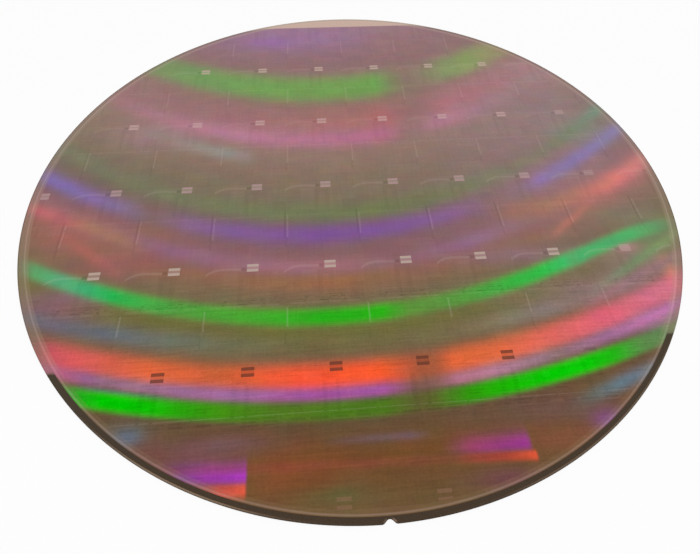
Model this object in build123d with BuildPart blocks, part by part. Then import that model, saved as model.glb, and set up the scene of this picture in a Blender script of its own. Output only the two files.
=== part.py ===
from build123d import *
from math import ceil, floor, radians, sin, tan
import os

os.makedirs("parts", exist_ok=True)

# A notched silicon wafer, lying on its back face. Millimetres, +Z up.
# The origin is the centre of the back face, and the notch is on the -Y side.

# Slice
wafer_diameter = 200.0
wafer_thickness = 0.725

# Rounded edge of the slice
bevel_angle = 22.0
bevel_width = 0.45
nose_radius = 0.25

# Alignment notch
notch_depth = 1.0
notch_angle = 90.0
notch_root_radius = 0.9
notch_lip_radius = 0.9

# Device layers: a plain film, with the printed pattern standing on it
film_margin = 1.6
film_height = 0.004
print_margin = 3.0
print_height = 0.008

# Printed fields, in rows and columns. A street between two columns passes through the wafer's centre.
field_width = 21.7
field_height = 31.68
pattern_drop = 1.61
street_width = 0.24
smallest_fragment_area = 0.5

# What one field holds, from its upper edge down: a block, a lane of pads, two blocks, a lane with a mark
upper_block_height = 10.5
pad_lane_height = 1.3
middle_block_height = 10.3
mark_lane_height = 2.8
pad_height = 0.6
pad_spans = [(1.4, 4.6), (5.7, 10.0), (11.6, 14.8), (16.6, 19.8)]
mark_from_left = 12.4
mark_bar_width = 3.2
mark_bar_height = 0.9
mark_bar_gap = 0.8

# Places that follow from the sizes above
wafer_radius = wafer_diameter / 2
film_radius = wafer_radius - film_margin
print_radius = wafer_radius - print_margin
film_top = wafer_thickness + film_height
columns = 2 * ceil(print_radius / field_width)
rows = floor(2 * print_radius / field_height)
half_notch_angle = radians(notch_angle / 2)
block_width = field_width - street_width
first_block_top = (field_height - street_width) / 2
upper_block_y = first_block_top - upper_block_height / 2
pad_lane_y = first_block_top - upper_block_height - pad_lane_height / 2
middle_block_y = pad_lane_y - (pad_lane_height + middle_block_height) / 2
lower_block_top = middle_block_y - middle_block_height / 2 - street_width
lower_block_bottom = mark_lane_height - field_height / 2
lower_block_y = (lower_block_top + lower_block_bottom) / 2
mark_x = mark_from_left - field_width / 2
mark_y = (mark_lane_height - field_height) / 2

# Outline of the slice, with the V notch, its rounded root and its rounded lips
with BuildSketch() as outline:
    Circle(wafer_radius)
    # A sharp V would reach further in than the rounded root does.
    notch_tip = notch_depth - wafer_radius + notch_root_radius * (1 / sin(half_notch_angle) - 1)
    notch_mouth = -wafer_radius - notch_depth
    half_mouth = (notch_tip - notch_mouth) * tan(half_notch_angle)
    with BuildLine():
        Polyline((0, notch_tip), (half_mouth, notch_mouth), (-half_mouth, notch_mouth), close=True)
    make_face(mode=Mode.SUBTRACT)
    fillet(outline.vertices().sort_by(Axis.Y)[-1], notch_root_radius)
    fillet(outline.vertices().sort_by(Axis.Y)[:2], notch_lip_radius)

# One field: three circuit blocks, a lane of bond pads, and an alignment mark of two bars
with BuildSketch() as field:
    with Locations((0, upper_block_y)):
        Rectangle(block_width, upper_block_height)
    for pad_start, pad_end in pad_spans:
        with Locations(((pad_start + pad_end - field_width) / 2, pad_lane_y)):
            Rectangle(pad_end - pad_start, pad_height)
    with Locations((0, middle_block_y)):
        Rectangle(block_width, middle_block_height)
    with Locations((0, lower_block_y)):
        Rectangle(block_width, lower_block_top - lower_block_bottom)
    with Locations((mark_x, mark_y)):
        with GridLocations(0, mark_bar_height + mark_bar_gap, 1, 2):
            Rectangle(mark_bar_width, mark_bar_height)

# The printed pattern: the field repeated over the slice and cut off by the plain ring along the edge
with BuildSketch(Plane.XY.offset(film_top)) as pattern:
    with Locations((0, -pattern_drop)):
        with GridLocations(field_width, field_height, columns, rows):
            add(field.sketch)
    Circle(print_radius, mode=Mode.INTERSECT)

# The wafer: sliced, ground to a rounded edge, coated and printed on its front
with BuildPart() as wafer:
    add(outline)
    extrude(amount=wafer_thickness)
    for face in (wafer.faces().sort_by(Axis.Z)[-1], wafer.faces().sort_by(Axis.Z)[0]):
        chamfer(face.edges(), bevel_width, angle=bevel_angle, reference=face)
    # By height: back face, lower bevel, bevel corner, side, bevel corner, upper bevel, front face
    edge_levels = wafer.edges().group_by(Axis.Z)
    fillet(edge_levels[2] + edge_levels[4], nose_radius)
    with BuildSketch(Plane.XY.offset(wafer_thickness)):
        Circle(film_radius)
    extrude(amount=film_height)
    printed_faces = [face for face in pattern.sketch.faces() if face.area > smallest_fragment_area]
    extrude(printed_faces, amount=print_height)

wafer.part.label = "wafer"
export_step(wafer.part, "parts/wafer.step")
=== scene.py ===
from math import ceil, cos, floor, hypot, pi, radians, sin, sqrt, tan
from random import Random

import bpy
from mathutils import Matrix, Vector
from mathutils.geometry import delaunay_2d_cdt


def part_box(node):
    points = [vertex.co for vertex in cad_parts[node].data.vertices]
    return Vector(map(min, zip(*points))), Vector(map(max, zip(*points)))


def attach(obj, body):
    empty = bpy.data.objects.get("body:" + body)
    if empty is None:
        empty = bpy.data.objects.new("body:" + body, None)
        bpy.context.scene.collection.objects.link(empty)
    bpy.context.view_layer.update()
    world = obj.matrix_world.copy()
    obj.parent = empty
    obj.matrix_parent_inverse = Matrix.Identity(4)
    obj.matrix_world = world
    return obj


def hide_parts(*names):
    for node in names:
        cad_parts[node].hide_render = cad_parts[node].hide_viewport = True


# The looks of a printed silicon wafer that lies on its back face.
# Lengths are in millimetres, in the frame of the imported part: the origin is the centre of the back face,
# +Z is up and the notch is on the -Y side. They become metres where a mesh, lamp or camera is made.
METRES = 0.001

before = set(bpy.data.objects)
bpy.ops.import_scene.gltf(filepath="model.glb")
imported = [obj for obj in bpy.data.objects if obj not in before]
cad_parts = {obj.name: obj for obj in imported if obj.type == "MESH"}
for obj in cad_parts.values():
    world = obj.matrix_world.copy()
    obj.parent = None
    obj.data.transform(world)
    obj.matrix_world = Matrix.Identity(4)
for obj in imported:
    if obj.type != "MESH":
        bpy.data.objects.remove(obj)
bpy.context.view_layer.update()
low_corner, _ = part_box("wafer")

# Slice
RADIUS = -low_corner.x / METRES
THICKNESS = 0.725
BEVEL_ANGLE = radians(22)
BEVEL_WIDTH = 0.45
NOSE_RADIUS = 0.25
NOSE_STEPS = 5
RIM_STEPS = 900

# Alignment notch
NOTCH_DEPTH = 1.0
NOTCH_HALF_ANGLE = radians(45)
NOTCH_ROOT_RADIUS = 0.9
NOTCH_LIP_RADIUS = 0.9
NOTCH_STEPS = 12

# Device layers
FILM_RADIUS = RADIUS - 1.6
PRINT_RADIUS = RADIUS - 3.0
RING_STEPS = 720
FILM_TOP = THICKNESS + 0.004
PRINT_TOP = FILM_TOP + 0.008
CHANNEL_TOP = PRINT_TOP - 0.004
CLIP_RADIUS = PRINT_RADIUS + 0.5
CLIP_SIDES = 64

# Printed fields
FIELD_WIDTH = 21.7
FIELD_HEIGHT = 31.68
PATTERN_DROP = 1.61
STREET = 0.24
COLUMNS = 2 * ceil(PRINT_RADIUS / FIELD_WIDTH)
ROWS = floor(2 * PRINT_RADIUS / FIELD_HEIGHT)

# Shapes of one field: left, right, top and bottom edges, measured from the field's upper left corner
BLOCK_LEFT = STREET / 2
BLOCK_RIGHT = FIELD_WIDTH - STREET / 2
UPPER_BLOCK = (BLOCK_LEFT, BLOCK_RIGHT, STREET / 2, 10.62)
MIDDLE_BLOCK = (BLOCK_LEFT, BLOCK_RIGHT, 11.92, 22.22)
LOWER_BLOCK = (BLOCK_LEFT, BLOCK_RIGHT, 22.46, 28.88)
PAD_SPANS = ((1.4, 4.6), (5.7, 10), (11.6, 14.8), (16.6, 19.8))
BOND_PADS = [(left, right, 10.97, 11.57) for left, right in PAD_SPANS]
MARK_BARS = [(10.8, 14.0, top, top + 0.9) for top in (28.98, 30.68)]

# Circuit arrays in the blocks: left, right, top and bottom edges, then columns and rows of cells
CHANNEL = 0.1
ARRAYS = [
    (0.12, 4.2, 0.12, 5.3, 2, 3),
    (0.12, 4.2, 5.4, 10.62, 2, 4),
    (4.3, 8.6, 0.12, 10.62, 1, 7),
    (8.7, 13.15, 0.12, 1.8, 1, 1),
    (8.7, 10.0, 1.9, 10.62, 1, 11),
    (10.1, 11.75, 1.9, 10.62, 1, 3),
    (11.85, 13.15, 1.9, 10.62, 1, 11),
    (13.25, 17.4, 0.12, 10.62, 1, 7),
    (17.5, 21.58, 0.12, 5.3, 2, 3),
    (17.5, 21.58, 5.4, 10.62, 2, 4),
    (0.12, 7.0, 11.92, 17.0, 3, 2),
    (0.12, 7.0, 17.1, 22.22, 2, 4),
    (7.1, 14.5, 11.92, 22.22, 2, 5),
    (14.6, 21.58, 11.92, 15.0, 4, 1),
    (14.6, 21.58, 15.1, 22.22, 3, 3),
    (0.12, 10.8, 22.46, 28.88, 5, 3),
    (10.9, 21.58, 22.46, 25.4, 3, 2),
    (10.9, 21.58, 25.5, 28.88, 6, 2),
]

# Tones: how much paler (above 0) or darker (below 0) a shape is than the colours round it. Pads have one
# for each row of fields, counted from the top.
ARRAY_TONES = (-0.07, 0)
CELL_TONE = 0.012
TONE_SEED = 11
PAD_TONES = [0.01, 0.03, 0.025, 0.012, 0.03, -0.14]
PALE = (226, 204, 196)

# Fine shapes of a field: the rows of fields that have it, tone, and left, right, top and bottom edges
FINE_SHAPES = [
    ((0, 1, 2, 3), 0.065, (0.14, 0.6, 11, 19.6)),
    ((4,), 0.08, (0.14, 0.6, 12.2, 18.3)),
    ((0, 1, 2, 4), -0.06, (-0.6, -0.14, 9.4, 19.6)),
    ((3,), -0.17, (-0.6, -0.14, 9.4, 19.6)),
    ((0, 1, 2, 3, 4), -0.11, (-0.42, 0.1, 19.8, 23.4)),
    ((0, 1, 2, 3), -0.17, (9.3, 10.5, 30, 31.2)),
    # Mark middles: pale under the painted bright haze in rows 0 to 3, dark in row 4 under the painted dark
    # reflection.
    ((0, 1, 2, 3), 0.16, (10.8, 14, 29.88, 30.68)),
    ((4,), -0.2, (10.8, 14, 29.88, 30.68)),
    ((2, 3), -0.05, (0.3, 21.4, 9.5, 10.3)),
    ((2, 3), -0.05, (0.3, 21.4, 12.8, 13.5)),
    ((4,), -0.1, (1.2, 4.4, 29.5, 29.8)),
    ((4,), -0.14, (5.1, 8.7, 29.6, 29.9)),
    ((4,), -0.11, (2.4, 4.7, 30.7, 31)),
    ((4,), -0.14, (5.2, 8.8, 30.8, 31.1)),
    ((4,), -0.1, (15.4, 20.6, 30.6, 30.9)),
    ((5,), -0.14, (0.2, 3.1, 0.15, 0.45)),
    ((5,), -0.1, (19.6, 21.5, 0.2, 0.45)),
    ((5,), -0.14, (9.9, 12.5, 1.15, 1.5)),
    ((5,), -0.13, (0.3, 4.6, 7.2, 7.5)),
    ((5,), -0.15, (0.3, 3.4, 7.9, 8.3)),
    ((5,), -0.1, (18.6, 20.9, 7.6, 8)),
    ((5,), -0.14, (11.2, 18.7, 9.15, 9.45)),
    ((5,), 0.05, (0.3, 21.4, 9.7, 9.95)),
    ((5,), -0.17, (11.2, 15.6, 10.3, 10.65)),
    ((5,), -0.17, (16.6, 19.3, 10.3, 10.65)),
    ((5,), -0.15, (11.2, 15.6, 12, 12.35)),
    ((5,), -0.14, (16.6, 19.3, 12, 12.35)),
]
# Two columns of dots in the lowest fields: middles across, half width and height, first and last place
# down, and pitch
DOT_COLUMNS = (9.35, 12.5)
DOT_HALF_SIZES = (0.34, 0.2)
DOT_DEPTHS = (2.3, 10)
DOT_PITCH = 0.82
DOT_TONE = -0.13
# Ribbon from the street up to the mark: middle line, half width, and a tone for each row of fields
RIBBON = [(-0.6, 32.2), (0.6, 31.4), (2, 30.7), (3.6, 30.45), (6.4, 30.5), (9.1, 30.7)]
RIBBON_HALF_WIDTH = 0.45
RIBBON_TONES = [0.05, 0.04, 0.06, 0.07, -0.06, 0]
# Broken dark dashes above the pads, in one row of fields: how far down, how many in a line, and measures
DASH_ROW = 4
DASH_DEPTHS = (8.6, 9.3, 9.9, 10.4)
DASH_COUNT = 9
DASH_HEIGHT = 0.35
DASH_LENGTHS = (0.5, 2)
DASH_TONES = (-0.26, -0.06)

# Faces that meet at more than this angle keep a sharp edge between them.
SHARP_ANGLE = radians(18)
# Points of the print that are nearer than this are one.
POINT_TOLERANCE = 1e-5

# Camera, as the photograph was taken
LENS = 25.89
LENS_SHIFT = -0.015
CAMERA_PLACE = (-9.85, -117.26, 115.61)
CAMERA_PITCH = radians(54.94)
CAMERA_HEADING = radians(6.25)
CAMERA_ROLL = radians(1.89)
CAMERA_NEAR = 5

# Studio, in metres
FLOOR_REACH = 1.5
FLOOR_HEIGHT = -0.00002
FLOOR_COLOUR = (0.94, 0.94, 0.94)
FLOOR_ROUGHNESS = 0.9
FLOOR_WHITENING = 0.88
WORLD_LIGHT = 0.6
# Square lamps: name, place, size and radiance, and the watts that give a square metre a radiance of 1
LAMPS = [
    ("key", (-0.8, -0.6, 0.9), 0.7, 2.5),
    ("fill", (0.9, -0.35, 0.7), 0.8, 1.2),
]
LAMP_POWER = 4

# How the colours arch: a height on the middle line rises to both sides, and the heights spread out there.
ARCH_MIDDLE = -8
ARCH_BEND = 0.0042
ARCH_SPREAD = 0.000025

# Regions, from the bare edge inwards, and the heights of those on the front. Each has its own material,
# apart from the fine shapes, which only have a tone.
BARE, FILM, STREETS, CHANNELS, CELLS, PADS, BARS, BACK, FINE = range(9)
HEIGHTS = {
    BARE: THICKNESS,
    FILM: FILM_TOP,
    STREETS: FILM_TOP,
    CHANNELS: CHANNEL_TOP,
    CELLS: PRINT_TOP,
    PADS: PRINT_TOP,
    BARS: PRINT_TOP,
}

# Wash of colour under the bands, a painted reflection that is paler and greyer far off and darker near:
# height on the middle line, and colour
REFLECTED_WASH = [
    (96, (150, 118, 122)),
    (78, (145, 108, 113)),
    (64, (143, 107, 108)),
    (40, (142, 112, 103)),
    (26, (150, 116, 110)),
    (12, (146, 120, 107)),
    (0, (134, 114, 97)),
    (-12, (121, 111, 91)),
    (-20, (126, 99, 96)),
    (-30, (139, 98, 102)),
    (-38, (143, 103, 82)),
    (-44, (121, 104, 80)),
    (-54, (112, 108, 60)),
    (-61, (118, 98, 73)),
    (-70, (112, 93, 68)),
    (-78, (101, 80, 56)),
    (-86, (116, 77, 44)),
    (-95, (108, 82, 54)),
]
# Arched bands of painted rainbow reflection: name, middle x and y, slope, bend, reach above and below, how
# suddenly they end, and colours along x with their shares. The dips round x 10 to 24 are a painted
# reflection of a dark upright thing over the wafer.
BANDS = [
    ("upper_green", -8, 49.6, 0, 0.0046, 8.4, 7.6, 3, [
        (-78, (124, 142, 92), 0.9), (-55, (114, 152, 88), 1), (-18, (114, 159, 80), 1),
        (0, (114, 157, 80), 1), (12, (108, 160, 76), 1), (18, (116, 140, 84), 0.7),
        (24, (130, 130, 95), 0.3), (30, (134, 134, 100), 0.5), (40, (130, 150, 95), 0.9),
        (50, (136, 156, 91), 0.95), (68, (155, 145, 102), 0.8)]),
    ("rose", -8, 29.8, 0, 0.0047, 8.5, 8, 2, [
        (-90, (148, 112, 112), 0.6), (-40, (160, 112, 115), 0.9), (0, (168, 112, 109), 1),
        (14, (172, 107, 108), 1), (24, (155, 110, 110), 0.5), (36, (174, 114, 122), 1),
        (52, (168, 116, 122), 1), (80, (160, 122, 128), 0.6)]),
    ("pink", -8, 21.2, 0, 0.0046, 4.6, 4.3, 2, [
        (-85, (168, 120, 128), 0.5), (-55, (178, 124, 140), 0.9), (-40, (182, 122, 144), 1),
        (0, (180, 114, 139), 1), (12, (182, 106, 134), 1), (21, (155, 115, 120), 0.3),
        (32, (182, 122, 144), 0.8), (48, (170, 125, 140), 0.8), (66, (160, 126, 130), 0.5)]),
    ("pale_teal", -8, 11, 0, 0.0048, 3.2, 3.2, 2, [
        (-72, (145, 125, 120), 0), (-58, (152, 133, 128), 0.9), (-41, (148, 141, 133), 1),
        (-35, (152, 137, 132), 0.8), (-30, (150, 125, 115), 0)]),
    ("faint_green", -8, -13, 0, 0.0045, 4, 3.5, 2, [
        (-80, (122, 124, 98), 0.6), (0, (114, 124, 82), 0.9), (14, (116, 122, 84), 0.9),
        (60, (128, 126, 104), 0.6), (78, (122, 128, 104), 0.8), (90, (116, 142, 120), 0.9)]),
    ("violet", -8, -21, 0.012, 0.0038, 3.6, 3.4, 2, [
        (-86, (130, 106, 166), 1), (-74, (134, 110, 152), 0.9), (-67, (134, 114, 136), 0.8),
        (-62, (138, 110, 120), 0.3), (-52, (136, 102, 138), 0.9), (-38, (135, 98, 148), 1),
        (-10, (128, 84, 152), 1), (12, (132, 90, 148), 1), (32, (142, 102, 142), 0.9),
        (45, (142, 110, 118), 0.3), (53, (144, 112, 130), 0.6), (60, (146, 118, 162), 1),
        (72, (142, 120, 168), 1), (90, (138, 124, 164), 1)]),
    ("mauve", -8, -32.8, 0, 0.0040, 3, 3, 2, [
        (-75, (150, 106, 110), 0.6), (-55, (147, 102, 128), 0.9), (-38, (154, 108, 124), 0.9),
        (-10, (160, 110, 116), 1), (10, (142, 102, 110), 0.7), (32, (150, 109, 138), 0.9),
        (50, (152, 120, 120), 0.7), (62, (160, 115, 110), 0)]),
    ("amber", -8, -38.3, 0, 0.0038, 2.4, 2.6, 2, [
        (-48, (140, 104, 84), 0), (-30, (146, 104, 78), 0.8), (-4, (150, 106, 72), 0.9),
        (12, (140, 100, 86), 0.6), (24, (130, 100, 95), 0)]),
    ("mauve_streak", 74, -43.8, 0.45, 0, 1.5, 1.5, 2, [
        (57, (170, 118, 122), 0), (64, (178, 116, 124), 0.8), (74, (158, 116, 126), 0.9),
        (90, (154, 118, 116), 0.9)]),
    ("sage_streak", 78, -37.6, 0.59, 0, 2, 2, 2, [
        (59, (134, 128, 116), 0), (66, (134, 133, 112), 0.9), (76, (118, 136, 100), 1),
        (92, (130, 146, 100), 1)]),
    ("bright_green", -8, -49.3, 0.007, 0.0030, 2.8, 2.7, 3, [
        (-96, (110, 145, 104), 0.2), (-91, (92, 168, 108), 0.9), (-82, (86, 166, 120), 1),
        (-74, (60, 174, 108), 1), (-68, (38, 182, 80), 1), (-60, (68, 172, 72), 1), (-50, (84, 157, 64), 1),
        (-32, (74, 168, 50), 1), (-12, (40, 175, 26), 1), (4, (44, 180, 25), 1), (11, (90, 152, 58), 0.9),
        (18, (92, 150, 62), 0.85), (30, (84, 162, 66), 1), (40, (60, 177, 66), 1), (50, (50, 190, 72), 1),
        (58, (64, 186, 102), 1), (66, (80, 176, 106), 0)]),
    ("bright_green_right", 70, -31, 0.4, -0.004, 2.6, 2.6, 3, [
        (58, (66, 184, 106), 0), (63, (76, 178, 106), 1), (82, (84, 174, 104), 1),
        (90, (100, 160, 104), 0.8), (97, (120, 140, 104), 0.5)]),
    ("grey_olive", -8, -57.5, 0, 0.0020, 3, 2.5, 2, [
        (-80, (110, 104, 116), 0.9), (-68, (102, 108, 117), 0.9), (-58, (108, 116, 110), 0.9),
        (-42, (112, 118, 94), 0.8), (-15, (114, 108, 68), 0.3), (20, (125, 114, 80), 0.5),
        (34, (136, 124, 100), 0.9), (48, (142, 126, 120), 0.9), (62, (150, 120, 120), 0.5)]),
    ("orange", -8, -66.6, 0.008, 0.0022, 4.1, 3.7, 3, [
        (-86, (152, 92, 100), 0.7), (-80, (204, 88, 98), 1), (-74, (222, 92, 92), 1),
        (-66, (216, 98, 80), 1), (-55, (228, 106, 62), 1), (-38, (206, 98, 56), 0.95),
        (-18, (248, 87, 54), 1), (2, (250, 92, 46), 1), (11, (186, 87, 58), 0.75), (15, (190, 90, 58), 0.7),
        (20, (226, 104, 58), 1), (34, (226, 108, 70), 1), (47, (222, 107, 96), 1), (62, (224, 102, 118), 1),
        (78, (212, 114, 134), 1)]),
    ("purple", -8, -70.8, 0, 0.0022, 1.9, 1.8, 2, [
        (-76, (188, 98, 136), 0.9), (-70, (150, 98, 140), 1), (-64, (150, 108, 132), 0.9),
        (-55, (158, 114, 142), 0.95), (-38, (162, 106, 156), 1), (-12, (162, 82, 154), 1),
        (2, (166, 90, 158), 1), (10, (126, 84, 92), 0.5), (15, (140, 92, 100), 0.6),
        (20, (178, 116, 138), 0.9), (30, (186, 126, 152), 1), (38, (164, 122, 142), 0.9),
        (48, (150, 118, 126), 0.8), (62, (166, 108, 152), 1), (72, (190, 120, 170), 1)]),
    ("teal_line", -60, -67, -0.19, 0, 0.8, 0.7, 2, [
        (-72, (110, 96, 120), 0), (-67, (100, 98, 118), 0.6), (-60, (86, 106, 100), 0.8),
        (-52, (92, 112, 96), 0.6), (-46, (110, 100, 110), 0)]),
    ("lower_green", -8, -74.9, 0, 0.00195, 2.5, 2.35, 4, [
        (-76, (84, 134, 70), 0.9), (-70, (34, 168, 26), 1), (-65, (0, 195, 0), 1), (-59, (0, 198, 0), 1),
        (-53, (16, 186, 4), 1), (-44, (48, 160, 14), 1), (-36, (68, 140, 20), 1),
        (-24, (82, 120, 32), 0.95), (2, (76, 122, 28), 0.95), (10, (92, 98, 42), 0.7),
        (14, (86, 108, 38), 0.8), (22, (50, 152, 14), 1), (30, (30, 175, 6), 1), (42, (4, 197, 2), 1),
        (54, (6, 198, 4), 1), (62, (34, 178, 20), 1), (70, (92, 144, 74), 0.95),
        (80, (104, 136, 88), 0.9)]),
    ("steel_line", 2, -82, 0, 0, 1, 1, 2, [
        (-14, (112, 90, 90), 0), (-5, (118, 92, 90), 0.7), (7, (115, 90, 96), 0.8),
        (12, (112, 90, 90), 0)]),
    ("steel_streak", 60, -73.2, 0.33, 0, 2, 2, 2, [
        (44, (98, 96, 86), 0), (53, (99, 112, 110), 0.8), (60, (98, 117, 130), 1),
        (68, (112, 118, 128), 1)]),
    ("left_streak_upper", -82, -13, -0.48, 0, 3, 2.6, 2, [
        (-97, (186, 103, 106), 1), (-87, (180, 107, 106), 1), (-78, (168, 122, 100), 0.9),
        (-68, (164, 118, 100), 0.8), (-60, (155, 110, 96), 0)]),
    ("left_streak_lower", -79, -22.6, -0.76, 0, 2.2, 2.4, 2, [
        (-91, (160, 106, 95), 0), (-86, (168, 104, 95), 0.8), (-78, (174, 103, 91), 0.9),
        (-70, (164, 102, 98), 0.8), (-65, (150, 100, 96), 0)]),
    ("coral", 45, -15.6, 0, 0.0072, 4.2, 4.2, 2, [
        (38, (152, 112, 100), 0), (48, (163, 113, 98), 0.8), (60, (168, 120, 100), 0.9),
        (70, (180, 116, 106), 1), (77, (198, 117, 108), 1), (87, (216, 124, 118), 1),
        (96, (205, 125, 124), 1)]),
    ("coral_streak", 60, -24, 0.78, 0, 1.8, 1.8, 2, [
        (55, (165, 112, 100), 0), (60, (180, 117, 105), 0.8), (68, (182, 117, 105), 0.8),
        (77, (190, 118, 108), 0)]),
    ("left_wedge_purple", -30, -88.1, -0.02, 0.004, 2.5, 1.8, 2, [
        (-50, (118, 79, 100), 0.4), (-44.5, (128, 66, 138), 0.9), (-39, (158, 62, 168), 1),
        (-30.1, (174, 58, 182), 1), (-29.9, (120, 76, 60), 0)]),
    ("left_wedge_orange", -30, -91, -0.05, 0, 1.4, 1.6, 3, [
        (-40, (160, 80, 80), 0.5), (-36, (196, 82, 72), 1), (-30.1, (218, 88, 66), 1),
        (-29.9, (120, 76, 60), 0)]),
    ("right_wedge_purple", 33, -85.9, 0, 0, 2.5, 1.4, 2, [
        (13, (130, 73, 76), 0), (20, (158, 68, 108), 0.95), (27, (150, 62, 120), 1),
        (33.4, (160, 60, 146), 1), (34.5, (125, 80, 60), 0)]),
    ("right_wedge_orange", 33, -88.4, -0.03, 0, 1, 1.2, 3, [
        (15, (150, 72, 62), 0.3), (21, (160, 70, 58), 0.7), (27, (172, 70, 55), 0.85),
        (34.4, (220, 88, 58), 1), (34.8, (125, 80, 60), 0)]),
]
# Soft patches of painted rainbow reflection and bright haze: name, middle x and y, half width, half height,
# colour and share
PATCHES = [
    ("violet_top", -16, 86, 33, 11, (153, 110, 148), 0.85),
    ("violet_bright", -28, 83, 10, 4.5, (147, 102, 164), 0.6),
    ("grey_right", 74, 34, 26, 20, (146, 123, 126), 0.7),
    ("rosy_right", 72, 4, 30, 26, (156, 120, 122), 0.7),
    ("tan_right", 74, 56, 18, 12, (166, 126, 128), 0.6),
    ("pink_left", -66, 28, 13, 8, (162, 126, 136), 0.6),
    ("coral_left", -84, -16, 13, 8, (160, 104, 96), 0.9),
    ("amber_left", -60, -19, 11, 5, (154, 108, 88), 0.6),
    ("brick_left", -68, -28, 16, 5, (153, 98, 96), 0.8),
    ("rose_left", -84, -42, 13, 5, (138, 94, 102), 0.9),
    ("grey_far_right", 80, -36, 14, 6, (142, 120, 110), 0.9),
    ("grey_mid_right", 64, -45, 18, 5, (142, 112, 112), 0.8),
    ("mauve_right", 80, -57, 12, 5, (150, 122, 138), 0.8),
    ("sage_right", 84, -20, 12, 4, (130, 124, 100), 0.8),
    ("sage_far_right", 88, -28, 7, 6, (116, 134, 98), 0.8),
    ("sage_upper_right", 80, 20, 12, 6, (132, 138, 128), 0.7),
    ("steel_left", -60, -77.5, 9, 4, (98, 98, 88), 0.8),
    ("steel_spot", -57.2, -77.8, 3, 2, (100, 116, 130), 0.9),
    ("grey_streak", -36, -81, 8, 1.7, (118, 96, 100), 0.7),
    ("plum_low_left", -42, -82, 16, 3.5, (120, 80, 82), 0.7),
    ("plum_low_right", 44, -78.5, 20, 4, (112, 86, 80), 0.7),
    ("violet_spot", 54, -82, 4, 2.6, (132, 80, 134), 0.9),
    ("umber_right", 42, -85.2, 9, 2.6, (132, 83, 62), 0.8),
    ("plum_low", 27, -93, 8, 2.4, (115, 72, 78), 0.8),
    ("ember_low", -20, -88, 10, 5, (138, 76, 46), 0.7),
    ("olive_low", -10, -93.6, 7, 2.2, (98, 98, 58), 0.7),
    ("mauve_mid_right", 44, -32, 17, 3.4, (142, 110, 116), 0.8),
    ("brown_top", 22, 80, 12, 10, (152, 112, 104), 0.5),
    ("veil_right", 48, 10, 22, 34, (150, 122, 130), 0.3),
    ("veil_mid_right", 38, -46, 24, 4, (128, 118, 92), 0.4),
    ("mauve_left", -80, -38.5, 10, 3, (132, 103, 106), 0.85),
    ("rim_glow", 87.5, -43, 2.6, 5.5, (214, 140, 98), 0.95),
    ("rim_tan", 84.5, -52, 2.2, 4, (182, 140, 114), 0.8),
    ("pink_mark", 77, -31.6, 4, 2.2, (178, 126, 136), 0.8),
]

# Grain: mottle in hue with its amount, size and seed. Then streaks and specks: name, width, height, amount
# in the upper half, amount in the lower half, and seed. The amounts change over between two heights.
MOTTLE = 0.24
MOTTLE_SIZE = (7, 4.5)
MOTTLE_SEED = 1
GRAIN_CHANGE = (-46, -30)
GRAINS = [
    ("level_streaks", 9, 0.45, 0.08, 0.32, 2.5),
    ("upright_streaks", 0.5, 9, 0.12, 0.12, 8.5),
    ("specks", 0.6, 0.5, 0.08, 0.26, 14.5),
]
TONE_NAME = "tone"

# How bright the streets and channels are beside the cells
STREET_BRIGHTNESS = 0.985
CHANNEL_BRIGHTNESS = 0.965

# Tints of the film's bare ring and of the mark bars, by height on the front: height, colour and share.
# Their change at about -60 is a painted reflection, dark below and a painted bright haze above.
FILM_TINTS_AND_REFLECTIONS = [
    (-98, (150, 124, 96), 0.12),
    (-61, (140, 124, 96), 0.12),
    (-59, (160, 140, 116), 0.22),
    (0, (164, 146, 126), 0.25),
    (60, (156, 138, 124), 0.25),
    (93.2, (160, 140, 128), 0.3),
    # From here up the film's far edge takes a painted bright reflection.
    (93.6, (196, 168, 154), 1),
]
# Bar tints are painted reflections: pale under a painted bright haze, dark under a painted dark reflection
# below about -60.
BAR_REFLECTED_TINTS = [
    (-90, (146, 106, 88), 0.35),
    (-66, (100, 56, 44), 0.8),
    (-60, (100, 56, 44), 0.8),
    (-50, (184, 164, 152), 0.86),
    (-28, (184, 164, 152), 0.86),
    (-8, (174, 144, 144), 0.8),
    (8, (174, 144, 144), 0.8),
    (25, (190, 154, 152), 0.8),
    (40, (190, 154, 152), 0.8),
    (58, (186, 162, 148), 0.85),
]
# The dark bars fade out to the right: between two places across, below a height
BAR_FADE = (38, 52, -58)
# All bars are fainter at the far right: between two places across, down to a share
BAR_SIDE_FADE = (68, 74, 0.45)
# Bare silicon: height on the front, colour and share. The dark colour below about -60 is a painted
# reflection of dark surroundings, and the pale far rim is a painted highlight.
BARE_TINTS_AND_REFLECTIONS = [
    (-98, (70, 57, 46), 1),
    (-60.8, (72, 63, 52), 1),
    (-60, (138, 120, 104), 0.45),
    (-20, (146, 130, 114), 0.5),
    (20, (160, 146, 136), 0.5),
    (60, (156, 140, 131), 0.5),
    (91, (166, 150, 140), 0.6),
    (94, (204, 184, 170), 1),
]
# Pale line on the film near its edge: how far out it is, its half width and its share
FILM_LINE = (98, 0.35, 0.13)
EDGE_TINT = (0.1, 0.1, 0.1)

# Roughness: size and seed of its noise, and its least and most. A noise is mostly within NOISE_SPAN.
NOISE_SPAN = (0.3, 0.7)
PRINT_ROUGHNESS = (3, 4, 0.26, 0.34)
BAR_ROUGHNESS = (1, 5, 0.24, 0.36)
FILM_ROUGHNESS = (1, 9, 0.24, 0.34)
# Grinding marks of the bare edge: width, height, seed and detail, then how brightness and roughness change
GROUND_NOISE = (0.5, 0.5, 6, 3)
GROUND_SHADES = (0.93, 1.07)
GROUND_ROUGHNESS = (0.2, 0.34)

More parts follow.
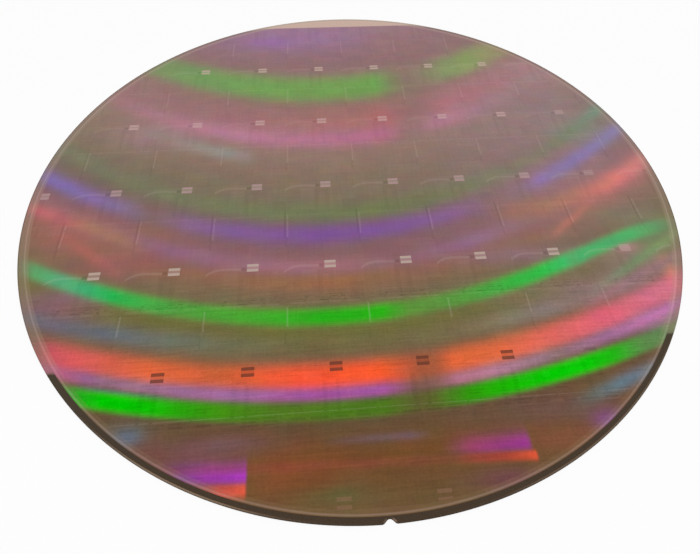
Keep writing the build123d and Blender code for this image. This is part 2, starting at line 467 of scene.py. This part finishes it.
# Etched back: facets, and clouds as the grinding marks are
BACK_COLOUR = (126, 126, 128)
FACET_SIZE = 1.6
FACET_DEPTH = 0.003
FACET_SHADES = (-0.07, 0.07)
FACET_STRENGTH = 0.5
CLOUD_NOISE = (26, 26, 7, 3)
CLOUD_SHADES = (0.92, 1.08)
CLOUD_ROUGHNESS = (0.4, 0.52)

# Texture map: the front with the rounded edge rolled flat round it, and the back as a disc in a corner
UNROLLED_EDGE = 1.2
FRONT_MAP_MIDDLE = 0.5
FRONT_MAP_SCALE = 0.497 / (RADIUS + UNROLLED_EDGE)
WALL_MAP_WIDTH = 0.02
BACK_MAP_MIDDLE = 0.085
BACK_MAP_SCALE = 0.08 / RADIUS


def arc(centre, radius, start, end, steps, outward=1):
    """Points of an arc between two angles, each with the unit normal that points out of the silicon."""
    found = []
    for step in range(steps + 1):
        angle = start + (end - start) * step / steps
        direction = Vector((cos(angle), sin(angle)))
        found.append((centre + direction * radius, direction * outward))
    return found


def notched_outline():
    """The outline, counter-clockwise from the notch's right flank, as points with outward normals."""
    half = NOTCH_HALF_ANGLE
    root_centre = Vector((0, NOTCH_DEPTH - NOTCH_ROOT_RADIUS - RADIUS))
    into_silicon = Vector((cos(half), sin(half)))
    along_flank = Vector((sin(half), -cos(half)))
    # The lip's centre lies beside the flank, where a circle round it touches the rim from inside.
    beside = root_centre + into_silicon * (NOTCH_ROOT_RADIUS + NOTCH_LIP_RADIUS)
    slope = beside.dot(along_flank)
    reach = sqrt(slope**2 - beside.length_squared + (RADIUS - NOTCH_LIP_RADIUS) ** 2) - slope
    lip_centre = beside + along_flank * reach
    rim_angle = lip_centre.angle(Vector((0, -1))) - pi / 2
    lip = arc(lip_centre, NOTCH_LIP_RADIUS, half - pi, rim_angle, NOTCH_STEPS)
    rim = arc(Vector((0, 0)), RADIUS, rim_angle, pi - rim_angle, RIM_STEPS)
    left_lip = []
    for point, normal in reversed(lip):
        left_lip.append((Vector((-point.x, point.y)), Vector((-normal.x, normal.y))))
    root = arc(root_centre, NOTCH_ROOT_RADIUS, pi - half, half, NOTCH_STEPS, outward=-1)
    return lip[:-1] + rim[:-1] + left_lip + root


def edge_section():
    """Section of the rounded edge, from the back face up: distances in from the outline, and heights."""
    turn = pi / 2 - BEVEL_ANGLE
    nose_height = BEVEL_WIDTH * tan(BEVEL_ANGLE) + NOSE_RADIUS * tan(turn / 2)
    lower = [(BEVEL_WIDTH, 0)]
    for step in range(NOSE_STEPS + 1):
        angle = turn * (step / NOSE_STEPS - 1)
        lower.append((NOSE_RADIUS * (1 - cos(angle)), nose_height + NOSE_RADIUS * sin(angle)))
    return lower + [(inset, THICKNESS - height) for inset, height in reversed(lower)]


def ring_points(radius):
    """Points of a circle round the wafer's centre."""
    turns = [2 * pi * step / RING_STEPS for step in range(RING_STEPS)]
    return [Vector((radius * cos(turn), radius * sin(turn))) for turn in turns]


def box_corners(left, right, top, bottom):
    """The corners of a rectangle of a field, counter-clockwise, with their depths turned into heights."""
    return [(left, -bottom), (right, -bottom), (right, -top), (left, -top)]


def array_cells(left, right, top, bottom, across, down):
    """The cells of one circuit array, with channels between them."""
    width = (right - left - CHANNEL * (across - 1)) / across
    height = (bottom - top - CHANNEL * (down - 1)) / down
    cells = []
    for column in range(across):
        for row in range(down):
            cell_left = left + column * (width + CHANNEL)
            cell_top = top + row * (height + CHANNEL)
            cells.append((cell_left, cell_left + width, cell_top, cell_top + height))
    return cells


def ribbon_corners():
    """The pale ribbon's outline, along its lower side and back along its upper one."""
    lower = [(across, -down - RIBBON_HALF_WIDTH) for across, down in RIBBON]
    upper = [(across, -down + RIBBON_HALF_WIDTH) for across, down in reversed(RIBBON)]
    return lower + upper


def dot_columns():
    """The dots of the lowest fields."""
    found = []
    wide, high = DOT_HALF_SIZES
    start, end = DOT_DEPTHS
    for middle in DOT_COLUMNS:
        for number in range(int((end - start) / DOT_PITCH) + 1):
            down = start + number * DOT_PITCH
            dot = box_corners(middle - wide, middle + wide, down - high, down + high)
            found.append((FINE, DOT_TONE, dot))
    return found


def broken_dashes(draw):
    """Dark dashes of random lengths, in a few rows."""
    found = []
    for down in DASH_DEPTHS:
        for _ in range(DASH_COUNT):
            left = draw.uniform(BLOCK_LEFT, BLOCK_RIGHT - max(DASH_LENGTHS))
            tone = draw.uniform(*DASH_TONES)
            right = left + draw.uniform(*DASH_LENGTHS)
            found.append((FINE, tone, box_corners(left, right, down, down + DASH_HEIGHT)))
    return found


def field_shapes():
    """What the fields hold, for each row of fields: region, tone and corners."""
    draw = Random(TONE_SEED)
    common = [(STREETS, 0, box_corners(0, FIELD_WIDTH, 0, FIELD_HEIGHT))]
    for block in (UPPER_BLOCK, MIDDLE_BLOCK, LOWER_BLOCK):
        common.append((CHANNELS, 0, box_corners(*block)))
    for array in ARRAYS:
        tone = draw.uniform(*ARRAY_TONES)
        for cell in array_cells(*array):
            common.append((CELLS, tone + draw.uniform(-CELL_TONE, CELL_TONE), box_corners(*cell)))
    common += [(BARS, 0, box_corners(*bar)) for bar in MARK_BARS]
    rows = []
    for row in range(ROWS):
        shapes = common + [(PADS, PAD_TONES[row], box_corners(*pad)) for pad in BOND_PADS]
        for rows_with_it, tone, edges in FINE_SHAPES:
            if row in rows_with_it:
                shapes.append((FINE, tone, box_corners(*edges)))
        if RIBBON_TONES[row]:
            shapes.append((FINE, RIBBON_TONES[row], ribbon_corners()))
        if row == DASH_ROW:
            shapes += broken_dashes(draw)
        if row == ROWS - 1:
            shapes += dot_columns()
        rows.append(shapes)
    return rows


def reaches_print(corners):
    """Whether the box round some corners comes into the printed circle."""
    across = [x for x, _ in corners]
    along = [y for _, y in corners]
    nearest_x = max(min(across), -max(across), 0)
    nearest_y = max(min(along), -max(along), 0)
    return hypot(nearest_x, nearest_y) < PRINT_RADIUS


def middle_in_print(corners):
    """Whether the middle of some corners is in the printed circle."""
    total = sum((Vector(corner) for corner in corners), Vector((0, 0)))
    return total.length / len(corners) < PRINT_RADIUS


def within_clip(corners):
    """The part of a shape inside a many-sided figure in the film's ring, so that nothing meets the rim."""
    for side in range(CLIP_SIDES):
        angle = 2 * pi * side / CLIP_SIDES
        beyond = [x * cos(angle) + y * sin(angle) - CLIP_RADIUS for x, y in corners]
        if max(beyond) <= 0:
            continue
        kept = []
        for place, (corner, over) in enumerate(zip(corners, beyond)):
            before, over_before = corners[place - 1], beyond[place - 1]
            if (over <= 0) != (over_before <= 0):
                share = over_before / (over_before - over)
                kept.append(tuple(a + (b - a) * share for a, b in zip(before, corner)))
            if over <= 0:
                kept.append(corner)
        corners = kept
    return corners


def printed_shapes():
    """Every shape of every field that reaches into the printed circle, as region, tone and corners."""
    found = []
    shapes_of_rows = field_shapes()
    for column in range(COLUMNS):
        for row in range(ROWS):
            start = (column - COLUMNS / 2) * FIELD_WIDTH
            height = (ROWS / 2 - row) * FIELD_HEIGHT - PATTERN_DROP
            for region, tone, corners in shapes_of_rows[row]:
                placed = [(start + x, height + y) for x, y in corners]
                belongs = middle_in_print if region in (PADS, BARS, FINE) else reaches_print
                if belongs(placed):
                    found.append((region, tone, within_clip(placed)))
    return found


def look_of(shapes_here):
    """The region and tone of a triangle of the front, from the shapes it is in, or None off the slice."""
    tones = dict(shapes_here)
    if "slice" not in tones:
        return None
    if "print" in tones:
        for region in (CELLS, PADS, BARS, CHANNELS, STREETS):
            if region in tones:
                return region, tones.get(FINE, tones[region])
    return (FILM, 0) if "film" in tones else (BARE, 0)


def front_triangles(flat_outline):
    """The front cut along every edge of the print: points, and triangles with their regions and tones."""
    shapes = [("slice", 0, flat_outline)]
    shapes.append(("film", 0, ring_points(FILM_RADIUS)))
    shapes.append(("print", 0, ring_points(PRINT_RADIUS)))
    shapes += printed_shapes()
    points = []
    loops = []
    for _, _, corners in shapes:
        loops.append(list(range(len(points), len(points) + len(corners))))
        points += [Vector(corner) for corner in corners]
    inside_only = 1
    places, _, faces, _, _, owners = delaunay_2d_cdt(points, [], loops, inside_only, POINT_TOLERANCE)
    triangles = []
    for face, owner in zip(faces, owners):
        look = look_of([shapes[index][:2] for index in sorted(owner)])
        if look is not None:
            triangles.append((face, *look))
    return places, triangles


class Surface:
    """The wafer's mesh as it is gathered. A point is shared where its key is the same."""

    def __init__(self):
        self.points = []
        self.numbers = {}
        self.faces = []
        self.regions = []
        self.tones = []
        self.map_places = []

    def point(self, key, x, y, z):
        if key not in self.numbers:
            self.numbers[key] = len(self.points)
            self.points.append((x * METRES, y * METRES, z * METRES))
        return self.numbers[key]

    def face(self, corners, region, tone, map_places):
        """A face, with a place on the texture map for each corner."""
        self.faces.append(corners)
        self.regions.append(region)
        self.tones.append(tone)
        for place in map_places:
            self.map_places += place


def front_map(x, y):
    """Where a place on the front goes on the texture map: a disc that nearly fills it."""
    return FRONT_MAP_MIDDLE + x * FRONT_MAP_SCALE, FRONT_MAP_MIDDLE + y * FRONT_MAP_SCALE


def back_map(x, y):
    """Where a place on the back face goes on the texture map: a small disc in a corner."""
    return BACK_MAP_MIDDLE + x * BACK_MAP_SCALE, BACK_MAP_MIDDLE - y * BACK_MAP_SCALE


def add_front(surface, places, triangles):
    """The front's regions at their heights, with the small walls between them."""
    sides = {}
    heights_at = {}
    for face, region, tone in triangles:
        height = HEIGHTS[region]
        for index in face:
            heights_at.setdefault(index, set()).add(height)
        corners = [surface.point((index, height), *places[index], height) for index in face]
        surface.face(corners, region, tone, [front_map(*places[index]) for index in face])
        for start, end in zip(face, face[1:] + face[:1]):
            sides[start, end] = region, tone
    for (start, end), (region, tone) in sides.items():
        low = HEIGHTS[sides.get((end, start), (BARE, 0))[0]]
        high = HEIGHTS[region]
        if low < high:
            # The wall has a corner at each height that meets its two ends, so that it fits its neighbours.
            up_end = [(end, height) for height in sorted(heights_at[end]) if low <= height <= high]
            up_start = [(start, height) for height in sorted(heights_at[start]) if low <= height <= high]
            # On the map the wall's foot stands a little out, so that the wall has a width there.
            along = (places[end] - places[start]).normalized()
            out = Vector((along.y, -along.x)) * WALL_MAP_WIDTH
            corners = []
            map_places = []
            for index, height in up_end + up_start[::-1]:
                corners.append(surface.point((index, height), *places[index], height))
                map_places.append(front_map(*(places[index] + out * (high - height) / (high - low))))
            surface.face(corners, region, tone, map_places)


def add_edge(surface, outline, front_numbers):
    """The rounded edge, from the back face to the front, round the whole outline and through the notch."""
    section = edge_section()
    top = len(section) - 1
    # How far each level is from the front, along the section
    lengths = [0]
    for (inset, height), (next_inset, next_height) in zip(reversed(section), reversed(section[:-1])):
        lengths.append(lengths[-1] + hypot(next_inset - inset, next_height - height))
    lengths.reverse()
    rows = []
    for level, (inset, height) in enumerate(section):
        row = []
        for place, (point, normal) in enumerate(outline):
            x, y = point - normal * inset
            key = (front_numbers[place], height) if level == top else ("edge", level, place)
            unrolled = point + normal * (lengths[level] - BEVEL_WIDTH)
            row.append((surface.point(key, x, y, height), front_map(*unrolled)))
        rows.append(row)
    for lower, upper in zip(rows, rows[1:]):
        for place in range(len(outline)):
            following = (place + 1) % len(outline)
            corners = [lower[place], lower[following], upper[following], upper[place]]
            numbers = [number for number, _ in corners]
            surface.face(numbers, BARE, 0, [on_map for _, on_map in corners])
    return [number for number, _ in rows[0]]


def add_back(surface, back_row):
    """The back face, as a fan round its centre."""
    centre = surface.point("back centre", 0, 0, 0)
    for start, end in zip(back_row, back_row[1:] + back_row[:1]):
        corners = [centre, end, start]
        places = [surface.points[number] for number in corners]
        surface.face(corners, BACK, 0, [back_map(x / METRES, y / METRES) for x, y, _ in places])


def wafer_object():
    """The whole wafer as one closed mesh."""
    outline = notched_outline()
    flat_outline = [point - normal * BEVEL_WIDTH for point, normal in outline]
    places, triangles = front_triangles(flat_outline)
    surface = Surface()
    add_front(surface, places, triangles)
    near = {}
    for index, place in enumerate(places):
        near[round(place.x, 3), round(place.y, 3)] = index
    numbers = [near[round(point.x, 3), round(point.y, 3)] for point in flat_outline]
    back_row = add_edge(surface, outline, numbers)
    add_back(surface, back_row)
    mesh = bpy.data.meshes.new("wafer_print")
    mesh.from_pydata(surface.points, [], surface.faces)
    mesh.polygons.foreach_set("material_index", surface.regions)
    tones = mesh.attributes.new(TONE_NAME, "FLOAT", "FACE")
    tones.data.foreach_set("value", surface.tones)
    bake_map = mesh.uv_layers.new(name="OFBake")
    bake_map.uv.foreach_set("vector", surface.map_places)
    mesh.shade_smooth()
    mesh.set_sharp_from_angle(angle=SHARP_ANGLE)
    wafer = bpy.data.objects.new("wafer_print", mesh)
    bpy.context.scene.collection.objects.link(wafer)
    return wafer


def linear(colour):
    """A screen colour, up to 255, in the linear values that shaders use, by the sRGB curve."""
    shares = [part / 255 for part in colour]
    return [part / 12.92 if part <= 0.04045 else ((part + 0.055) / 1.055) ** 2.4 for part in shares] + [1]


class Shader:
    """A node tree, with short calls that add nodes. A value is a number or another node's output."""

    def __init__(self, tree):
        self.tree = tree

    def node(self, kind, values=(), **settings):
        made = self.tree.nodes.new("ShaderNode" + kind)
        for name, setting in settings.items():
            setattr(made, name, setting)
        for place, value in dict(values).items():
            if isinstance(value, bpy.types.NodeSocket):
                self.tree.links.new(value, made.inputs[place])
            else:
                made.inputs[place].default_value = value
        return made

    def math(self, operation, *values):
        return self.node("Math", enumerate(values), operation=operation).outputs[0]

    def mix(self, factor, under, over, blend="MIX"):
        # The colour sockets come after those for numbers and vectors.
        mixed = self.node("Mix", {0: factor, 6: under, 7: over}, data_type="RGBA", blend_type=blend)
        return mixed.outputs[2]

    def span(self, value, low, high, from_value=0.0, to_value=1.0, smooth=False):
        kind = "SMOOTHSTEP" if smooth else "LINEAR"
        values = {"Value": value, 1: low, 2: high, 3: from_value, 4: to_value}
        return self.node("MapRange", values, interpolation_type=kind).outputs[0]

    def scale(self, colour, factor):
        return self.node("VectorMath", {0: colour, "Scale": factor}, operation="SCALE").outputs[0]

    def ramp(self, value, low, high, stops):
        """Colours along a value. A stop is a place, a screen colour and, where it is given, a share."""
        made = self.node("ValToRGB", {0: self.span(value, low, high)})
        elements = made.color_ramp.elements
        elements.remove(elements[1])
        for number, (place, colour, *share) in enumerate(sorted(stops, key=lambda stop: stop[0])):
            position = (place - low) / (high - low)
            element = elements.new(position) if number else elements[0]
            element.position = position
            element.color = linear(colour)[:3] + (share or [1])
        return made.outputs["Color"], made.outputs["Alpha"]


def plane_coordinates(shader):
    """The place on the wafer, in millimetres."""
    place = shader.node("TexCoord").outputs["Object"]
    split = shader.node("SeparateXYZ", {0: place}).outputs
    return shader.math("DIVIDE", split["X"], METRES), shader.math("DIVIDE", split["Y"], METRES)


def washed(shader, x, y):
    """The painted reflected wash of colour under the bands. Its heights arch up to both sides as the bands
    do.
    """
    aside = shader.math("POWER", shader.math("ADD", x, -ARCH_MIDDLE), 2)
    raised = shader.math("SUBTRACT", y, shader.math("MULTIPLY", aside, ARCH_BEND))
    height = shader.math("DIVIDE", raised, shader.math("MULTIPLY_ADD", aside, ARCH_SPREAD, 1))
    return shader.ramp(height, -RADIUS, RADIUS, REFLECTED_WASH)[0]


def falloff(shader, distance, power):
    """1 at no distance, and fading out round a distance of 1: the higher the power, the more suddenly."""
    return shader.math("EXPONENT", shader.math("MULTIPLY", shader.math("POWER", distance, power), -1))


def with_patch(shader, x, y, under, patch):
    """A colour with one soft patch of painted reflection on it."""
    _, middle_x, middle_y, half_width, half_height, colour, most = patch
    across = shader.math("DIVIDE", shader.math("ADD", x, -middle_x), half_width)
    along = shader.math("DIVIDE", shader.math("ADD", y, -middle_y), half_height)
    distance = shader.math("MULTIPLY_ADD", across, across, shader.math("MULTIPLY", along, along))
    share = shader.math("MULTIPLY", falloff(shader, distance, 1), most)
    return shader.mix(share, under, linear(colour))


def with_band(shader, x, y, under, band):
    """A colour with one arched band of painted rainbow reflection on it."""
    _, middle_x, middle_y, slope, bend, above, below, power, colours = band
    aside = shader.math("ADD", x, -middle_x)
    line = shader.math("MULTIPLY_ADD", aside, shader.math("MULTIPLY_ADD", aside, bend, slope), middle_y)
    beyond = shader.math("SUBTRACT", y, line)
    upward = shader.math("DIVIDE", beyond, above)
    reach = shader.math("MAXIMUM", upward, shader.math("DIVIDE", beyond, -below))
    colour, most = shader.ramp(x, -RADIUS, RADIUS, colours)
    share = shader.math("MULTIPLY", falloff(shader, reach, power), most)
    return shader.mix(share, under, colour)


def noise(shader, x, y, width, height, seed, detail=1):
    """A noise whose features have a given size in millimetres, as its value and colour."""
    values = {0: shader.math("DIVIDE", x, width), 1: shader.math("DIVIDE", y, height), 2: seed}
    place = shader.node("CombineXYZ", values).outputs[0]
    made = shader.node("TexNoise", {"Vector": place, "Scale": 1, "Detail": detail}).outputs
    return made["Fac"], made["Color"]


def rough(shader, x, y, size, seed, least, most):
    """Roughness that changes from place to place between two values."""
    return shader.span(noise(shader, x, y, size, size, seed)[0], *NOISE_SPAN, least, most)


def with_grain(shader, x, y, under):
    """A colour with the print's fine grain: mottle in hue, then streaks and specks in brightness."""
    mottle = noise(shader, x, y, *MOTTLE_SIZE, MOTTLE_SEED)[1]
    spread_values = {0: mottle, 1: [MOTTLE] * 3, 2: [1 - MOTTLE / 2] * 3}
    spread = shader.node("VectorMath", spread_values, operation="MULTIPLY_ADD").outputs[0]
    colour = shader.node("VectorMath", {0: under, 1: spread}, operation="MULTIPLY").outputs[0]
    brightness = 1
    for _, width, height, upper_amount, lower_amount, seed in GRAINS:
        amount = shader.span(y, *GRAIN_CHANGE, lower_amount, upper_amount)
        about_none = shader.math("ADD", noise(shader, x, y, width, height, seed)[0], -0.5)
        brightness = shader.math("ADD", shader.math("MULTIPLY", about_none, amount), brightness)
    return shader.scale(colour, brightness)


def with_tone(shader, under):
    """A colour made paler or darker by the tone of the shape that it is on."""
    tone = shader.node("Attribute", attribute_type="GEOMETRY", attribute_name=TONE_NAME).outputs["Fac"]
    darker = shader.scale(under, shader.math("ADD", shader.math("MINIMUM", tone, 0), 1))
    return shader.mix(shader.math("MAXIMUM", tone, 0), darker, linear(PALE))


def print_and_rainbow_group():
    """The fine print's own tones and grain under painted rainbow reflections, the colours that the lamps'
    light splits into off the print, held still on the surface, as a node group.
    """
    group = bpy.data.node_groups.new("print_and_painted_rainbow", "ShaderNodeTree")
    group.interface.new_socket("Color", in_out="OUTPUT", socket_type="NodeSocketColor")
    shader = Shader(group)
    x, y = plane_coordinates(shader)
    colour = washed(shader, x, y)
    for patch in PATCHES:
        colour = with_patch(shader, x, y, colour, patch)
    for band in BANDS:
        colour = with_band(shader, x, y, colour, band)
    colour = with_tone(shader, with_grain(shader, x, y, colour))
    result = group.nodes.new("NodeGroupOutput")
    group.links.new(colour, result.inputs[0])
    return group


def new_material(name, metallic=1):
    """A material with its shader builder and its main shader node."""
    material = bpy.data.materials.new(name)
    material.use_nodes = True
    main = material.node_tree.nodes["Principled BSDF"]
    main.inputs["Metallic"].default_value = metallic
    return material, Shader(material.node_tree), main


def finish(shader, main, colour, roughness):
    """Links colour and roughness to a material's main shader node."""
    shader.tree.links.new(colour, main.inputs["Base Color"])
    shader.tree.links.new(roughness, main.inputs["Roughness"])


def print_and_rainbow_of(shader, group):
    """The print's colour with its painted rainbow reflections, for a material that needs it."""
    made = shader.tree.nodes.new("ShaderNodeGroup")
    made.node_tree = group
    return made.outputs[0]


def printed_material(name, group, brightness):
    """A part of the print, a little darker or lighter than the rest."""
    material, shader, main = new_material(name)
    x, y = plane_coordinates(shader)
    colour = shader.mix(1, print_and_rainbow_of(shader, group), [brightness] * 3 + [1], "MULTIPLY")
    finish(shader, main, colour, rough(shader, x, y, *PRINT_ROUGHNESS))
    return material


def bar_material(group):
    """The mark bars: pale on most rows under a painted bright haze, dark on the orange band under a painted
    dark reflection, and fading out to its right.
    """
    material, shader, main = new_material("bars")
    x, y = plane_coordinates(shader)
    tint, share = shader.ramp(y, -RADIUS, RADIUS, BAR_REFLECTED_TINTS)
    low, high, lowest = BAR_FADE
    faded = shader.math("MAXIMUM", shader.span(x, low, high, 1, 0), shader.span(y, lowest, lowest + 1))
    near, far, least = BAR_SIDE_FADE
    aside = shader.span(x, near, far, 1, least)
    faded = shader.math("MULTIPLY", shader.math("MULTIPLY", share, faded), aside)
    colour = shader.mix(faded, print_and_rainbow_of(shader, group), tint)
    finish(shader, main, colour, rough(shader, x, y, *BAR_ROUGHNESS))
    return material


def bare_material(group):
    """Polished bare silicon that takes a little of the print's painted rainbow, with a painted dark
    reflection on the near side, a painted highlight on the far rim and fine marks from grinding.
    """
    material, shader, main = new_material("bare_silicon")
    main.inputs["Specular Tint"].default_value = (*EDGE_TINT, 1)
    x, y = plane_coordinates(shader)
    shade, share = shader.ramp(y, -RADIUS, RADIUS, BARE_TINTS_AND_REFLECTIONS)
    colour = shader.mix(share, print_and_rainbow_of(shader, group), shade)
    ground = noise(shader, x, y, *GROUND_NOISE)[0]
    colour = shader.scale(colour, shader.span(ground, *NOISE_SPAN, *GROUND_SHADES))
    finish(shader, main, colour, shader.span(ground, *NOISE_SPAN, *GROUND_ROUGHNESS))
    return material


def film_material(group):
    """The films' ring round the print, which takes the print's colours and painted rainbow, with painted
    reflections by height and a pale line near its edge.
    """
    material, shader, main = new_material("film")
    x, y = plane_coordinates(shader)
    tint, share = shader.ramp(y, -RADIUS, RADIUS, FILM_TINTS_AND_REFLECTIONS)
    colour = shader.mix(share, print_and_rainbow_of(shader, group), tint)
    out = shader.math("SQRT", shader.math("MULTIPLY_ADD", x, x, shader.math("MULTIPLY", y, y)))
    middle, half_width, most = FILM_LINE
    beside = shader.math("ABSOLUTE", shader.math("ADD", out, -middle))
    colour = shader.mix(shader.span(beside, 0, half_width, most, 0, smooth=True), colour, linear(PALE))
    finish(shader, main, colour, rough(shader, x, y, *FILM_ROUGHNESS))
    return material


def back_material():
    """The etched back: a dull grey with small facets and soft clouds."""
    material, shader, main = new_material("etched_back")
    x, y = plane_coordinates(shader)
    place = shader.node("CombineXYZ", {0: x, 1: y}).outputs[0]
    cells = shader.node("TexVoronoi", {"Vector": place, "Scale": 1 / FACET_SIZE}, feature="SMOOTH_F1")
    facets = cells.outputs["Distance"]
    clouds = noise(shader, x, y, *CLOUD_NOISE)[0]
    faceted = shader.span(facets, 0, 1, *FACET_SHADES)
    light = shader.math("ADD", faceted, shader.span(clouds, *NOISE_SPAN, *CLOUD_SHADES))
    colour = shader.scale(linear(BACK_COLOUR)[:3], light)
    relief = {"Height": facets, "Distance": FACET_DEPTH * METRES, "Strength": FACET_STRENGTH}
    shader.tree.links.new(shader.node("Bump", relief).outputs[0], main.inputs["Normal"])
    finish(shader, main, colour, shader.span(clouds, *NOISE_SPAN, *CLOUD_ROUGHNESS))
    return material


def paint(wafer):
    """The wafer's materials, one for each region."""
    group = print_and_rainbow_group()
    materials = {
        BARE: bare_material(group),
        FILM: film_material(group),
        STREETS: printed_material("streets", group, STREET_BRIGHTNESS),
        CHANNELS: printed_material("channels", group, CHANNEL_BRIGHTNESS),
        CELLS: printed_material("cells", group, 1),
        PADS: printed_material("pads", group, 1),
        BARS: bar_material(group),
        BACK: back_material(),
    }
    for region in sorted(materials):
        wafer.data.materials.append(materials[region])


def studio_floor():
    """A pale floor that takes the object's shadow and is white in the picture."""
    mesh = bpy.data.meshes.new("floor")
    sides = ((-1, -1), (1, -1), (1, 1), (-1, 1))
    corners = [(x * FLOOR_REACH, y * FLOOR_REACH, FLOOR_HEIGHT) for x, y in sides]
    mesh.from_pydata(corners, [], [(0, 1, 2, 3)])
    floor_object = bpy.data.objects.new("floor", mesh)
    bpy.context.scene.collection.objects.link(floor_object)
    material, shader, main = new_material("studio_floor", metallic=0)
    main.inputs["Base Color"].default_value = (*FLOOR_COLOUR, 1)
    main.inputs["Roughness"].default_value = FLOOR_ROUGHNESS
    white = shader.node("Emission", {"Strength": 1}).outputs[0]
    share = shader.math("MULTIPLY", shader.node("LightPath").outputs["Is Camera Ray"], FLOOR_WHITENING)
    mixed = shader.node("MixShader", {0: share, 1: main.outputs[0], 2: white}).outputs[0]
    shader.tree.links.new(mixed, material.node_tree.nodes["Material Output"].inputs["Surface"])
    mesh.materials.append(material)


def studio_world():
    """Even light from all round, white where the camera or a reflection sees it."""
    world = bpy.data.worlds.new("studio")
    world.use_nodes = True
    bpy.context.scene.world = world
    shader = Shader(world.node_tree)
    path = shader.node("LightPath").outputs
    seen = shader.math("MAXIMUM", path["Is Camera Ray"], path["Is Glossy Ray"])
    seen = shader.math("MAXIMUM", seen, path["Is Transmission Ray"])
    background = world.node_tree.nodes["Background"]
    world.node_tree.links.new(shader.span(seen, 0, 1, WORLD_LIGHT, 1), background.inputs["Strength"])
    background.inputs["Color"].default_value = (1, 1, 1, 1)


def soft_lamp(name, place, size, radiance):
    """A square softbox that faces the wafer."""
    lamp = bpy.data.lights.new(name, "AREA")
    lamp.size = size
    lamp.energy = LAMP_POWER * radiance * size**2
    lamp_object = bpy.data.objects.new(name, lamp)
    lamp_object.location = place
    lamp_object.rotation_mode = "QUATERNION"
    lamp_object.rotation_quaternion = (-Vector(place)).to_track_quat("-Z", "Y")
    bpy.context.scene.collection.objects.link(lamp_object)


def place_camera():
    """The camera at the photograph's place: it looks down over the near edge."""
    data = bpy.data.cameras.new("camera")
    data.lens = LENS
    data.shift_x = LENS_SHIFT
    data.clip_start = CAMERA_NEAR * METRES
    camera = bpy.data.objects.new("camera", data)
    camera.location = [part * METRES for part in CAMERA_PLACE]
    turn = Matrix.Rotation(-CAMERA_HEADING, 4, "Z") @ Matrix.Rotation(pi / 2 - CAMERA_PITCH, 4, "X")
    camera.rotation_euler = (turn @ Matrix.Rotation(CAMERA_ROLL, 4, "Z")).to_euler()
    bpy.context.scene.collection.objects.link(camera)
    bpy.context.scene.camera = camera


bpy.context.scene.view_settings.view_transform = "Standard"
wafer = wafer_object()
paint(wafer)
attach(wafer, "root")
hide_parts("wafer")
studio_floor()
studio_world()
for lamp_settings in LAMPS:
    soft_lamp(*lamp_settings)
place_camera()
